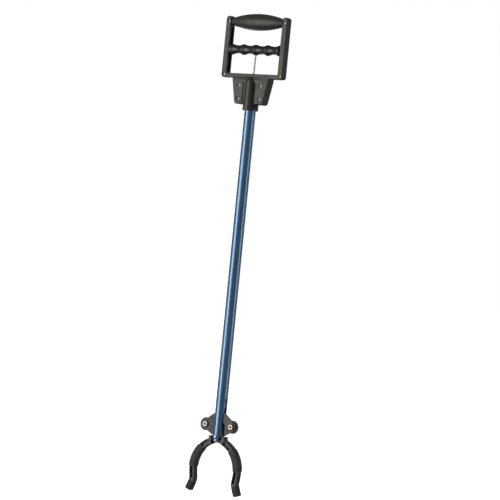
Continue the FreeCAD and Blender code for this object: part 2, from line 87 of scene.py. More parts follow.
def wire(material, source, outlet, target, inlet):
    material.node_tree.links.new(source.outputs[outlet], target.inputs[inlet])


def objectSpace(material, stretch=(1, 1, 1)):
    coords = material.node_tree.nodes.new("ShaderNodeTexCoord")
    mapping = material.node_tree.nodes.new("ShaderNodeMapping")
    mapping.inputs["Scale"].default_value = stretch
    wire(material, coords, "Object", mapping, "Vector")
    return mapping


def noise(material, space, scale, detail=3.0, roughness=0.55):
    node = material.node_tree.nodes.new("ShaderNodeTexNoise")
    node.inputs["Scale"].default_value = scale
    node.inputs["Detail"].default_value = detail
    node.inputs["Roughness"].default_value = roughness
    wire(material, space, "Vector", node, "Vector")
    return node


def pebbles(material, space, scale):
    node = material.node_tree.nodes.new("ShaderNodeTexVoronoi")
    node.inputs["Scale"].default_value = scale
    wire(material, space, "Vector", node, "Vector")
    return node


def ramp(material, source, outlet, stops):
    node = material.node_tree.nodes.new("ShaderNodeValToRGB")
    node.color_ramp.elements[0].position = stops[0][0]
    node.color_ramp.elements[1].position = stops[-1][0]
    for place, colour in stops[1:-1]:
        node.color_ramp.elements.new(place)
    for element, (place, colour) in zip(node.color_ramp.elements, stops):
        element.color = (*colour, 1)
    wire(material, source, outlet, node, "Fac")
    return node


def spread(material, source, outlet, low, high, fromLow=0.3, fromHigh=0.7):
    node = material.node_tree.nodes.new("ShaderNodeMapRange")
    node.inputs["From Min"].default_value = fromLow
    node.inputs["From Max"].default_value = fromHigh
    node.inputs["To Min"].default_value = low
    node.inputs["To Max"].default_value = high
    wire(material, source, outlet, node, "Value")
    return node


def relief(material, source, outlet, depth, strength, under=None):
    node = material.node_tree.nodes.new("ShaderNodeBump")
    node.inputs["Distance"].default_value = depth
    node.inputs["Strength"].default_value = strength
    wire(material, source, outlet, node, "Height")
    if under:
        wire(material, under, "Normal", node, "Normal")
    return node


def blendColours(material, factor, outlet, first, firstOutlet, second):
    node = material.node_tree.nodes.new("ShaderNodeMix")
    node.data_type = "RGBA"
    node.inputs["B"].default_value = (*second, 1)
    wire(material, factor, outlet, node, "Factor")
    wire(material, first, firstOutlet, node, "A")
    return node


# Colours are linear; grain, cloud and pebble are pattern scales, and a higher one is finer.
# Each "edge" colour is the paler rim on rounded strips: partly rubbed wear, partly a painted highlight.
plastics = {
    "handlePlastic": {"deep": (0.015, 0.0145, 0.0125), "pale": (0.025, 0.0245, 0.021),
                      "edge": (0.065, 0.063, 0.056), "rough": (0.40, 0.50), "grain": 2300,
                      "grainDepth": 0.03 * mm, "cloud": 45, "gloss": 0.45},
    "barPlastic": {"deep": (0.010, 0.010, 0.0095), "pale": (0.017, 0.017, 0.016), "edge": (0.055, 0.054, 0.050),
                   "rough": (0.29, 0.37), "grain": 2600, "grainDepth": 0.02 * mm, "cloud": 60, "gloss": 0.45},
    "jawPlastic": {"deep": (0.014, 0.0135, 0.012), "pale": (0.026, 0.025, 0.023), "edge": (0.080, 0.078, 0.072),
                   "rough": (0.38, 0.50), "grain": 2100, "grainDepth": 0.035 * mm, "cloud": 70, "gloss": 0.45},
    "acetal": {"deep": (0.022, 0.022, 0.022), "pale": (0.030, 0.030, 0.030), "edge": (0.05, 0.05, 0.05),
               "rough": (0.26, 0.34), "grain": 1500, "grainDepth": 0.01 * mm, "cloud": 80, "gloss": 0.5}}

# The wear numbers spread that paler rim in patches: rubbed wear with a painted highlight.
mouldMarks = {"cloudFrom": 0.35, "cloudTo": 0.65, "wearHighlightScale": 240, "wearHighlightFrom": 0.42, "wearHighlightTo": 0.62,
              "wearHighlightMost": 0.8, "roughScale": 130, "grainStrength": 0.55, "scuffStretch": (1, 1, 0.12),
              "scuffScale": 700, "scuffFrom": 0.66, "scuffTo": 0.74, "scuffDepth": 0.015 * mm,
              "scuffStrength": 0.35, "tint": (1.0, 0.96, 0.87, 1)}


def mouldedPlastic(name):
    # Satin with faint flow clouds, a few scuffs, and its rounded edge strips painted paler, partly as rubbed wear
    # and partly as a painted highlight.
    look, marks = plastics[name], mouldMarks
    material, shader = newMaterial(name)
    space = objectSpace(material)
    cloud = noise(material, space, look["cloud"], detail=4)
    stops = [(marks["cloudFrom"], look["deep"]), (marks["cloudTo"], look["pale"])]
    colour = ramp(material, cloud, "Fac", stops)
    wearAndHighlightMark = material.node_tree.nodes.new("ShaderNodeAttribute")
    wearAndHighlightMark.attribute_name = "edgeWearAndHighlight"
    patch = noise(material, space, marks["wearHighlightScale"])
    wornAndHighlit = spread(material, patch, "Fac", 0, marks["wearHighlightMost"], marks["wearHighlightFrom"], marks["wearHighlightTo"])
    amount = material.node_tree.nodes.new("ShaderNodeMath")
    amount.operation = "MULTIPLY"
    wire(material, wearAndHighlightMark, "Fac", amount, 0)
    wire(material, wornAndHighlit, "Result", amount, 1)
    # Rounded edge strips go paler here, partly as rubbed wear and partly as a painted highlight.
    rubbedAndHighlit = blendColours(material, amount, "Value", colour, "Color", look["edge"])
    wire(material, rubbedAndHighlit, "Result", shader, "Base Color")
    uneven = noise(material, space, marks["roughScale"], detail=5, roughness=0.65)
    rough = spread(material, uneven, "Fac", *look["rough"])
    wire(material, rough, "Result", shader, "Roughness")
    sand = noise(material, space, look["grain"], detail=2)
    grain = relief(material, sand, "Fac", look["grainDepth"], marks["grainStrength"])
    streaks = objectSpace(material, marks["scuffStretch"])
    scuffs = noise(material, streaks, marks["scuffScale"], detail=2, roughness=0.7)
    scratches = spread(material, scuffs, "Fac", 0, 1, marks["scuffFrom"], marks["scuffTo"])
    scored = relief(material, scratches, "Result", marks["scuffDepth"], marks["scuffStrength"], grain)
    wire(material, scored, "Normal", shader, "Normal")
    shader.inputs["Specular IOR Level"].default_value = look["gloss"]
    shader.inputs["Specular Tint"].default_value = marks["tint"]
    return material


rubbers = {
    "gripRubber": {"deep": (0.013, 0.0115, 0.0105), "pale": (0.022, 0.0195, 0.018), "rough": (0.46, 0.56),
                   "pebble": 1150, "pebbleDepth": 0.08 * mm, "cloud": 90, "sheen": 0.0, "gloss": 0.62},
    "sleeveRubber": {"deep": (0.020, 0.020, 0.019), "pale": (0.034, 0.033, 0.031), "rough": (0.60, 0.72),
                     "pebble": 1900, "pebbleDepth": 0.04 * mm, "cloud": 120, "sheen": 0.04, "gloss": 0.4},
    "tipRubber": {"deep": (0.017, 0.017, 0.016), "pale": (0.029, 0.028, 0.026), "rough": (0.66, 0.80),
                  "pebble": 1500, "pebbleDepth": 0.05 * mm, "cloud": 150, "sheen": 0.04, "gloss": 0.35}}

rubberMarks = {"cloudFrom": 0.33, "cloudTo": 0.67, "roughScale": 260, "pebbleStrength": 0.5, "fineScale": 4200,
               "fineDepth": 0.02 * mm, "fineStrength": 0.4, "tint": (1.0, 0.94, 0.87, 1), "sheenRough": 0.5}


def softRubber(name):
    # Matte skin of fine pebbles over a slightly uneven, faintly dusty black.
    look, marks = rubbers[name], rubberMarks
    material, shader = newMaterial(name)
    space = objectSpace(material)
    cloud = noise(material, space, look["cloud"], detail=5, roughness=0.6)
    stops = [(marks["cloudFrom"], look["deep"]), (marks["cloudTo"], look["pale"])]
    colour = ramp(material, cloud, "Fac", stops)
    wire(material, colour, "Color", shader, "Base Color")
    uneven = noise(material, space, marks["roughScale"], detail=4)
    rough = spread(material, uneven, "Fac", *look["rough"])
    wire(material, rough, "Result", shader, "Roughness")
    bumps = pebbles(material, space, look["pebble"])
    skin = relief(material, bumps, "Distance", look["pebbleDepth"], marks["pebbleStrength"])
    dust = noise(material, space, marks["fineScale"], detail=2)
    fine = relief(material, dust, "Fac", marks["fineDepth"], marks["fineStrength"], skin)
    wire(material, fine, "Normal", shader, "Normal")
    shader.inputs["Specular IOR Level"].default_value = look["gloss"]
    shader.inputs["Specular Tint"].default_value = marks["tint"]
    shader.inputs["Sheen Weight"].default_value = look["sheen"]
    shader.inputs["Sheen Roughness"].default_value = marks["sheenRough"]
    return material


metals = {
    "anodisedBlue": {"deep": (0.046, 0.115, 0.205), "pale": (0.062, 0.150, 0.265), "rough": (0.38, 0.46),
                     "stretch": (1, 1, 0.012), "lines": 900, "lineDepth": 0.008 * mm, "coat": 1.0,
                     "coatRough": 0.16},
    "drawnSteel": {"deep": (0.34, 0.34, 0.33), "pale": (0.46, 0.46, 0.44), "rough": (0.36, 0.44),
                   "stretch": (1, 1, 0.02), "lines": 2400, "lineDepth": 0.002 * mm, "coat": 0.0,
                   "coatRough": 0.03},
    "platedSteel": {"deep": (0.09, 0.088, 0.083), "pale": (0.17, 0.165, 0.155), "rough": (0.26, 0.38),
                    "stretch": (1, 0.3, 1), "lines": 1400, "lineDepth": 0.006 * mm, "coat": 0.0,
                    "coatRough": 0.03},
    "rivetNickel": {"deep": (0.17, 0.16, 0.14), "pale": (0.27, 0.255, 0.225), "rough": (0.20, 0.30),
                    "stretch": (1, 1, 1), "lines": 900, "lineDepth": 0.004 * mm, "coat": 0.0, "coatRough": 0.03},
    "pivotMetal": {"deep": (0.26, 0.29, 0.44), "pale": (0.38, 0.41, 0.55), "rough": (0.24, 0.32),
                   "stretch": (1, 1, 1), "lines": 1100, "lineDepth": 0.004 * mm, "coat": 0.4, "coatRough": 0.1},
    "plainAlloy": {"deep": (0.52, 0.52, 0.53), "pale": (0.66, 0.66, 0.67), "rough": (0.30, 0.42),
                   "stretch": (1, 1, 0.1), "lines": 1300, "lineDepth": 0.010 * mm, "coat": 0.0, "coatRough": 0.03}}

metalMarks = {"toneScale": 30, "tone": 0.12, "toneFrom": 0.3, "toneTo": 0.7, "lineStrength": 0.5}


def finishedMetal(name):
    # Metal with its drawing or turning lines: the stretch says which way they run.
    look, marks = metals[name], metalMarks
    material, shader = newMaterial(name)
    alongLines = objectSpace(material, look["stretch"])
    lines = noise(material, alongLines, look["lines"], roughness=0.6)
    cloud = noise(material, objectSpace(material), marks["toneScale"], detail=4)
    tone = spread(material, cloud, "Fac", -marks["tone"], marks["tone"])
    mixed = material.node_tree.nodes.new("ShaderNodeMath")
    mixed.operation = "ADD"
    wire(material, lines, "Fac", mixed, 0)
    wire(material, tone, "Result", mixed, 1)
    stops = [(marks["toneFrom"], look["deep"]), (marks["toneTo"], look["pale"])]
    colour = ramp(material, mixed, "Value", stops)
    wire(material, colour, "Color", shader, "Base Color")
    rough = spread(material, mixed, "Value", *look["rough"])
    wire(material, rough, "Result", shader, "Roughness")
    scored = relief(material, lines, "Fac", look["lineDepth"], marks["lineStrength"])
    wire(material, scored, "Normal", shader, "Normal")
    shader.inputs["Metallic"].default_value = 1.0
    shader.inputs["Coat Weight"].default_value = look["coat"]
    shader.inputs["Coat Roughness"].default_value = look["coatRough"]
    return material


finishes = {name: mouldedPlastic(name) for name in plastics}
finishes.update({name: softRubber(name) for name in rubbers})
finishes.update({name: finishedMetal(name) for name in metals})
slotFinish = {"handle_plastic": "handlePlastic", "bar_plastic": "barPlastic", "jaw_plastic": "jawPlastic",
              "acetal": "acetal", "grip_rubber": "gripRubber", "sleeve_rubber": "sleeveRubber",
              "tip_rubber": "tipRubber", "tube_blue": "anodisedBlue", "rod_steel": "drawnSteel",
              "steel": "platedSteel", "rivet_steel": "rivetNickel", "pivot_metal": "pivotMetal",
              "plain_alloy": "plainAlloy"}
nodeSlot = {part["node"]: part["material_slot"] for part in frame["record"]["subparts"]}
nodeBody = {node: body for body, nodes in frame["record"]["behaviour"]["bodies"].items() for node in nodes}
print("materials made,", len(finishes))


# Measures of a designed part, and the shapes that the pieces are made from.

def radiusOf(node):
    low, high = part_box(node)
    return (high.x - low.x) / 2


def centreOf(node):
    low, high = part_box(node)
    return (low + high) / 2


def arc(centre, radius, start, end, steps):
    # Points of an arc in a plane, angles in degrees from the first axis.
    turns = [math.radians(start + (end - start) * i / steps) for i in range(steps + 1)]
    return [(centre[0] + radius * math.cos(t), centre[1] + radius * math.sin(t)) for t in turns]


def lathe(profile, axis, centre, steps, closed=False):
    # Spins (along, radius) points about an axis through a centre.
    axis = Vector(axis)
    out = Vector((0, 0, 1)) if abs(axis.z) < 0.5 else Vector((1, 0, 0))
    bm = bmesh.new()
    verts = [bm.verts.new(Vector(centre) + axis * along + out * radius) for along, radius in profile]
    pairs = list(zip(verts, verts[1:]))
    if closed:
        pairs.append((verts[-1], verts[0]))
    edges = [bm.edges.new(pair) for pair in pairs]
    bmesh.ops.spin(bm, geom=verts + edges, cent=centre, axis=axis, angle=fullTurn, steps=steps, use_merge=True)
    bmesh.ops.remove_doubles(bm, verts=bm.verts, dist=weld)
    bmesh.ops.recalc_face_normals(bm, faces=bm.faces)
    return bm


def cylinder(radius, start, end, segments=48):
    # A closed cylinder between two points.
    bm = bmesh.new()
    start, end = Vector(start), Vector(end)
    along = end - start
    turn = along.to_track_quat("Z", "Y").to_matrix().to_4x4()
    bmesh.ops.create_cone(bm, cap_ends=True, segments=segments, radius1=radius, radius2=radius, depth=along.length,
                          matrix=Matrix.Translation((start + end) / 2) @ turn)
    return bm


def block(low, high):
    bm = bmesh.new()
    low, high = Vector(low), Vector(high)
    size = high - low
    place = Matrix.Translation((low + high) / 2) @ Matrix.Diagonal((*size, 1))
    bmesh.ops.create_cube(bm, size=1, matrix=place)
    return bm


def toObject(bm, name):
    mesh = bpy.data.meshes.new(name)
    bm.to_mesh(mesh)
    bm.free()
    thing = bpy.data.objects.new(name, mesh)
    bpy.context.scene.collection.objects.link(thing)
    return thing


def carve(bm, cutters, operation="DIFFERENCE"):
    # Takes closed cutters out of a solid, or with INTERSECT keeps what they share with it.
    body = toObject(bm, "carved")
    tools = [toObject(cutter, "cutter") for cutter in cutters]
    for tool in tools:
        cut = body.modifiers.new("cut", "BOOLEAN")
        cut.operation = operation
        cut.solver = "EXACT"
        cut.object = tool
    bpy.context.view_layer.update()
    shaped = body.evaluated_get(bpy.context.evaluated_depsgraph_get())
    result = bmesh.new()
    result.from_mesh(shaped.to_mesh())
    for thing in [body, *tools]:
        mesh = thing.data
        bpy.data.objects.remove(thing)
        bpy.data.meshes.remove(mesh)
    bmesh.ops.remove_doubles(result, verts=result.verts, dist=weld)
    return result


def roundEdges(bm, width, sharper=50, segments=2):
    # Rounds the outer edges that turn by more than the angle, and marks the new strips for edge wear with a
    # painted highlight.
    wearHighlightLayer = bm.faces.layers.float.get("edgeWearAndHighlight") or bm.faces.layers.float.new("edgeWearAndHighlight")
    limit = math.radians(sharper)
    edges = [e for e in bm.edges if e.is_manifold and e.is_convex and e.calc_face_angle() > limit]
    made = bmesh.ops.bevel(bm, geom=edges, offset=width, offset_type="OFFSET", segments=segments, profile=0.5,
                           affect="EDGES", material=-1, clamp_overlap=True)
    for face in made["faces"]:
        face[wearHighlightLayer] = 1.0
    return bm


def finishPiece(bm, name, node, crease=38):
    # Turns a bmesh into the piece that stands for a node, on that node's body and with its finish.
    mesh = bpy.data.meshes.new(name)
    bm.to_mesh(mesh)
    bm.free()
    mesh.shade_smooth()
    mesh.set_sharp_from_angle(angle=math.radians(crease))
    mesh.materials.append(finishes[slotFinish[nodeSlot[node]]])
    piece = bpy.data.objects.new(name, mesh)
    bpy.context.scene.collection.objects.link(piece)
    even = piece.modifiers.new("evenNormals", "WEIGHTED_NORMAL")
    even.keep_sharp = True
    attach(piece, nodeBody[node])
    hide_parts(node)
    return piece


# Parts whose designed shape stays, with their edges broken as a mould or a file leaves them.
brokenEdges = {
    "front_shell": {"piece": "frontShell", "width": 0.35 * mm, "segments": 2},
    "rear_shell": {"piece": "rearShell", "width": 0.35 * mm, "segments": 2},
    "left_jaw": {"piece": "leftJaw", "width": 0.45 * mm, "segments": 3},
    "right_jaw": {"piece": "rightJaw", "width": 0.45 * mm, "segments": 3},
    "left_link": {"piece": "leftLink", "width": 0.35 * mm, "segments": 3},
    "right_link": {"piece": "rightLink", "width": 0.35 * mm, "segments": 3},
    "left_guide_shoe": {"piece": "leftGuideShoe", "width": 0.3 * mm, "segments": 2},
    "right_guide_shoe": {"piece": "rightGuideShoe", "width": 0.3 * mm, "segments": 2},
    "clevis": {"piece": "rodClevis", "width": 0.25 * mm, "segments": 2},
    "clevis_pin": {"piece": "clevisPin", "width": 0.25 * mm, "segments": 2},
    "lock_nut": {"piece": "lockNut", "width": 0.2 * mm, "segments": 2}}


def copyOfNode(node):
    # The node's own mesh, with its loose triangles joined and its flat faces made whole.
    bm = bmesh.new()
    bm.from_mesh(frame["nodes"][node].data)
    bmesh.ops.remove_doubles(bm, verts=bm.verts, dist=weld)
    bmesh.ops.dissolve_limit(bm, angle_limit=flatTurn, verts=bm.verts, edges=bm.edges)
    return bm


# The moulded relief grooves that run down both sides of the tube boss, on the front and on the back.
bossGrooves = {"inner": 9.6 * mm, "outer": 13.4 * mm, "floor": 6.9 * mm, "top": -100.3 * mm, "foot": -136 * mm,
               "past": 20 * mm}
grooveFacing = {"front_shell": -1, "rear_shell": 1}


def bossGrooveCutters(facing):
    # facing is -1 for a groove that opens to the front and 1 for one that opens to the back.
    shape = bossGrooves
    near, far = sorted((facing * shape["floor"], facing * shape["past"]))
    return [block((min(a, b), near, shape["foot"]), (max(a, b), far, shape["top"]))
            for a, b in ((-shape["outer"], -shape["inner"]), (shape["inner"], shape["outer"]))]


for node, shape in brokenEdges.items():
    bm = roundEdges(copyOfNode(node), shape["width"], segments=shape["segments"])
    if node in grooveFacing:
        bm = carve(bm, bossGrooveCutters(grooveFacing[node]))
    finishPiece(bm, shape["piece"], node)
print("shells, jaws, links and small parts rounded")


palmGripShape = {"endRadius": 5.9 * mm, "collarWidth": 3.0 * mm, "grooveWidth": 1.2 * mm, "grooveDepth": 0.35 * mm,
                 "seamHeight": 0.12 * mm, "edge": 0.5 * mm, "lengthSteps": 84, "roundSteps": 96}


def makePalmGrip():
    # One long swelling arc between two end collars, with a faint seam along its top and bottom.
    shape = palmGripShape
    low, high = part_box("palm_grip")
    half, middle = high.x, high.z
    rise = middle - shape["endRadius"]
    bow = (half ** 2 + rise ** 2) / (2 * rise)
    profile = [(-half, 0)]
    for i in range(shape["lengthSteps"] + 1):
        x = -half + 2 * half * i / shape["lengthSteps"]
        radius = middle - bow + math.sqrt(bow ** 2 - x ** 2)
        fromEnd = (half - abs(x)) - shape["collarWidth"]
        if 0 < fromEnd < shape["grooveWidth"]:
            radius -= shape["grooveDepth"] * math.sin(math.pi * fromEnd / shape["grooveWidth"])
        profile.append((x, radius))
    profile.append((half, 0))
    bm = lathe(profile, (1, 0, 0), (0, 0, 0), shape["roundSteps"])
    for vert in bm.verts:
        if abs(vert.co.y) < weld and abs(vert.co.z) > shape["endRadius"]:
            vert.co.z += math.copysign(shape["seamHeight"], vert.co.z)
    finishPiece(roundEdges(bm, shape["edge"], sharper=60, segments=3), "palmGrip", "palm_grip")


makePalmGrip()
print("palm grip made")


fingerBarShape = {"ridge": 9.0 * mm, "valley": 6.9 * mm, "pitch": 24.3 * mm, "crest": 2.2 * mm, "flange": 4.6 * mm,
                  "endRound": 1.8 * mm, "tenon": 2.8 * mm, "tenonEnd": 56.8 * mm, "rodHole": 2.1 * mm,
                  "end": 51.3 * mm, "crestRound": 0.9 * mm, "ringWidth": 0.9 * mm, "ringDepth": 0.5 * mm,
                  "edge": 0.3 * mm, "valleySteps": 14, "endSteps": 5, "roundSteps": 80,
                  "leastCrestTurn": 12, "mostCrestTurn": 40}


def valleyPoints(start, end):
    # The hollow for one finger, an arc from crest to crest.
    shape = fingerBarShape
    sag = shape["ridge"] - shape["valley"]
    span = (end - start) / 2
    bow = (span ** 2 + sag ** 2) / (2 * sag)
    points = []
    for i in range(shape["valleySteps"] + 1):
        x = -span + 2 * span * i / shape["valleySteps"]
        points.append((start + span + x, shape["valley"] + bow - math.sqrt(bow ** 2 - x ** 2)))
    return points


def makeFingerBar():
    # Four finger hollows between ring-marked crests, plain flanges, and a tenon at each end for the guide shoes.
    shape = fingerBarShape
    centre = Vector((0, 0, centreOf("rod_nut").z))
    half = []
    for ridge in (0, shape["pitch"]):
        far = min(ridge + shape["pitch"] - shape["crest"] / 2, shape["end"] - shape["flange"])
        half += valleyPoints(ridge + shape["crest"] / 2, far)
    endRound = shape["endRound"]
    half += arc((shape["end"] - endRound, shape["ridge"] - endRound), endRound, 90, 0, shape["endSteps"])
    half += [(shape["end"], shape["tenon"]), (shape["tenonEnd"], shape["tenon"]), (shape["tenonEnd"], 0)]
    profile = [(-x, radius) for x, radius in reversed(half)] + half
    bm = lathe(profile, (1, 0, 0), centre, shape["roundSteps"])
    least, most = math.radians(shape["leastCrestTurn"]), math.radians(shape["mostCrestTurn"])
    crests = [e for e in bm.edges if abs(e.verts[0].co.x - e.verts[1].co.x) < weld
              and least < e.calc_face_angle(0) < most]
    bmesh.ops.bevel(bm, geom=crests, offset=shape["crestRound"], offset_type="OFFSET", segments=3, profile=0.5,
                    affect="EDGES", material=-1)
    low = Vector((0, 0, centre.z - shape["ridge"] - mm))
    cutters = [cylinder(shape["rodHole"], low, centre)]
    for crest in (-1, 0, 1):
        a = crest * shape["pitch"] - shape["ringWidth"] / 2
        b = a + shape["ringWidth"]
        floor, over = shape["ridge"] - shape["ringDepth"], shape["ridge"] + mm
        ring = [(a, floor), (a, over), (b, over), (b, floor)]
        cutters.append(lathe(ring, (1, 0, 0), centre, shape["roundSteps"], closed=True))
    bm = carve(bm, cutters)
    finishPiece(roundEdges(bm, shape["edge"], sharper=60), "fingerBar", "finger_bar")


makeFingerBar()
print("finger bar made")


tubeShape = {"wall": 1.25 * mm, "slotHalf": 3.1 * mm, "slotLength": 72.5 * mm, "tongueRadius": 7.0 * mm,
             "pivotHeight": 7.0 * mm, "taper": 9.0 * mm, "spotDrop": 0.35 * mm, "spotRadius": 3.7 * mm,
             "pivotRadius": 2.4 * mm, "dowelRadius": 2.03 * mm, "dowelHeight": -118 * mm, "edge": 0.18 * mm,
             "roundSteps": 144, "tongueSteps": 96, "slotSteps": 64}


def tongueKeeper(radius, tip, top):
    # Convex solid round all that stays of the tube once its end is tapered and rounded.
    shape = tubeShape
    pivot = tip + shape["pivotHeight"]
    bm = bmesh.new()
    for side in (-1, 1):
        y = side * 2 * radius
        place = Matrix.Translation((0, y, pivot)) @ Matrix.Rotation(math.pi / 2, 4, "X")
        bmesh.ops.create_circle(bm, segments=shape["tongueSteps"], radius=shape["tongueRadius"], matrix=place)
        for x in (-radius - mm, radius + mm):
            for z in (pivot + shape["taper"], top + mm):
                bm.verts.new((x, y, z))
    hull = bmesh.ops.convex_hull(bm, input=bm.verts)
    loose = [thing for thing in hull["geom_interior"] if isinstance(thing, bmesh.types.BMVert)]
    bmesh.ops.delete(bm, geom=loose, context="VERTS")
    bmesh.ops.dissolve_limit(bm, angle_limit=flatTurn, verts=bm.verts, edges=bm.edges)
    bmesh.ops.recalc_face_normals(bm, faces=bm.faces)
    return bm


def makeTube():
    # Plain anodised tube with a through slot, two rounded tongues, flats under the pin heads and dowel holes.
    shape = tubeShape
    low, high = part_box("tube")
    radius = radiusOf("tube")
    inner = radius - shape["wall"]
    tip, top = low.z, high.z
    profile = [(tip, inner), (tip, radius), (top, radius), (top, inner)]
    bm = lathe(profile, (0, 0, 1), (0, 0, 0), shape["roundSteps"], closed=True)
    bm = carve(bm, [tongueKeeper(radius, tip, top)], "INTERSECT")
    wide = 2 * radius
    slotTop = tip + shape["slotLength"] - shape["slotHalf"]
    seat = radius - shape["spotDrop"]
    pivot = tip + shape["pivotHeight"]
    dowel = shape["dowelHeight"]
    cutters = [block((-wide, -shape["slotHalf"], tip - mm), (wide, shape["slotHalf"], slotTop)),
               cylinder(shape["slotHalf"], (-wide, 0, slotTop), (wide, 0, slotTop), shape["slotSteps"]),
               cylinder(shape["spotRadius"], (0, -wide, pivot), (0, -seat, pivot)),
               cylinder(shape["spotRadius"], (0, seat, pivot), (0, wide, pivot)),
               cylinder(shape["pivotRadius"], (0, -wide, pivot), (0, wide, pivot)),
               cylinder(shape["dowelRadius"], (-wide, 0, dowel), (wide, 0, dowel))]
    bm = carve(bm, cutters)
    finishPiece(roundEdges(bm, shape["edge"], sharper=40), "tube", "tube", crease=30)


makeTube()
print("tube made")


pullRodShape = {"edge": 0.35 * mm}


def makePullRod():
    low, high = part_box("pull_rod")
    bm = cylinder(radiusOf("pull_rod"), (0, 0, low.z), (0, 0, high.z))
    finishPiece(roundEdges(bm, pullRodShape["edge"], sharper=60), "pullRod", "pull_rod")


makePullRod()


screwShape = {"headRadius": 2.9 * mm, "headHeight": 1.8 * mm, "crown": 0.45 * mm, "rim": 0.55 * mm,
              "shank": 1.75 * mm, "point": 0.3 * mm, "crossLength": 3.2 * mm, "crossWidth": 0.7 * mm,
              "crossDepth": 1.1 * mm, "edge": 0.08 * mm, "crownSteps": 7, "rimSteps": 5, "roundSteps": 48}
screwSets = {"corner_screws": "cornerScrews", "yoke_screws": "yokeScrews"}


def islandCentres(node):
    # Centre and front-to-back span of each separate solid in a node.
    bm = bmesh.new()
    bm.from_mesh(frame["nodes"][node].data)
    bmesh.ops.remove_doubles(bm, verts=bm.verts, dist=weld)
    left = set(bm.verts)
    found = []
    while left:
        stack = [left.pop()]
        island = [stack[0]]
        while stack:
            for edge in stack.pop().link_edges:
                for vert in edge.verts:
                    if vert in left:
                        left.remove(vert)
                        stack.append(vert)
                        island.append(vert)
        xs, ys, zs = zip(*[vert.co for vert in island])
        found.append(((min(xs) + max(xs)) / 2, min(ys), max(ys), (min(zs) + max(zs)) / 2))
    bm.free()
    return sorted(found)


def makeScrew(x, front, back, z):
    # A crowned head with a rounded rim and a cross recess, on a plain pointed shank.
    shape = screwShape
    head, rim, shank = shape["headRadius"], shape["rim"], shape["shank"]
    crownBow = (head ** 2 + shape["crown"] ** 2) / (2 * shape["crown"])
    profile = []
    for i in range(shape["crownSteps"] + 1):
        radius = (head - rim) * i / shape["crownSteps"]
        profile.append((crownBow - math.sqrt(crownBow ** 2 - radius ** 2), radius))
    shoulder = profile[-1][0]
    profile += arc((shoulder + rim, head - rim), rim, 180, 90, shape["rimSteps"])[1:]
    profile += [(shape["headHeight"], head), (shape["headHeight"], shank)]
    length = back - front
    profile += [(length - shank, shank), (length, shape["point"]), (length, 0)]
    bm = lathe(profile, (0, 1, 0), (x, front, z), shape["roundSteps"])
    longHalf, wideHalf = shape["crossLength"] / 2, shape["crossWidth"] / 2
    floor = front + shape["crossDepth"]
    slots = [block((x - a, front - mm, z - b), (x + a, floor, z + b))
             for a, b in ((longHalf, wideHalf), (wideHalf, longHalf))]
    return carve(bm, slots)


for node, name in screwSets.items():
    joined = bmesh.new()
    for spot in islandCentres(node):
        screw = toObject(makeScrew(*spot), "screw")
        joined.from_mesh(screw.data)
        bpy.data.objects.remove(screw)
    finishPiece(roundEdges(joined, screwShape["edge"], sharper=60), name, node)
print("rod and screws made")


rivetShape = {"bore": 1.5 * mm, "shaft": 2.6 * mm, "flangeRadius": 4.3 * mm, "flange": 0.7 * mm,
              "mouth": 0.9 * mm, "mouthSteps": 5, "lipSteps": 8, "roundSteps": 64}


def makeRivet(node, name):
    # A tube with both ends rolled over into a round-lipped flange.
    shape = rivetShape
    low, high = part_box(node)
    centre = centreOf(node)
    end = (high.y - low.y) / 2
    lip = shape["flange"] / 2
    mouth = shape["mouth"]
    half = [(0, shape["bore"])]
    half += arc((end - mouth, shape["bore"] + mouth), mouth, -90, 0, shape["mouthSteps"])
    half += arc((end - lip, shape["flangeRadius"] - lip), lip, 0, 180, shape["lipSteps"])
    half += [(end - shape["flange"], shape["shaft"]), (0, shape["shaft"])]
    other = [(-along, radius) for along, radius in reversed(half)]
    bm = lathe(half + other[1:-1], (0, 1, 0), centre, shape["roundSteps"], closed=True)
    finishPiece(bm, name, node, crease=50)


makeRivet("left_ear_rivet", "leftEarRivet")
makeRivet("right_ear_rivet", "rightEarRivet")


pivotShape = {"head": 3.6 * mm, "headHeight": 1.5 * mm, "rim": 0.25 * mm, "shaft": 2.4 * mm,
              "domeSteps": 12, "roundSteps": 64}


def makePivotPin():
    # A shaft with a low domed head at each end.
    shape = pivotShape
    low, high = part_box("pivot_pin")
    centre = centreOf("pivot_pin")
    end = (high.y - low.y) / 2
    head, height = shape["head"], shape["headHeight"] - shape["rim"]
    bow = (head ** 2 + height ** 2) / (2 * height)
    half = []
    for i in range(shape["domeSteps"] + 1):
        radius = head * i / shape["domeSteps"]
        half.append((end - bow + math.sqrt(bow ** 2 - radius ** 2), radius))
    seat = end - shape["headHeight"]
    half += [(seat, head), (seat, shape["shaft"])]
    profile = half + [(-along, radius) for along, radius in reversed(half)]
    bm = lathe(profile, (0, 1, 0), centre, shape["roundSteps"])
    finishPiece(bm, "pivotPin", "pivot_pin", crease=50)


makePivotPin()
print("rivets and pivot made")


# bowCentre is how far past the middle, and at what height, the arm's main bow has its centre.
sleeveShape = {"bowCentre": (4.4 * mm, -737.8 * mm), "bowSlack": 0.1 * mm, "corner": 1.5 * mm, "rim": 0.35 * mm,
               "cornerTurn": 50, "cornerSteps": 4}


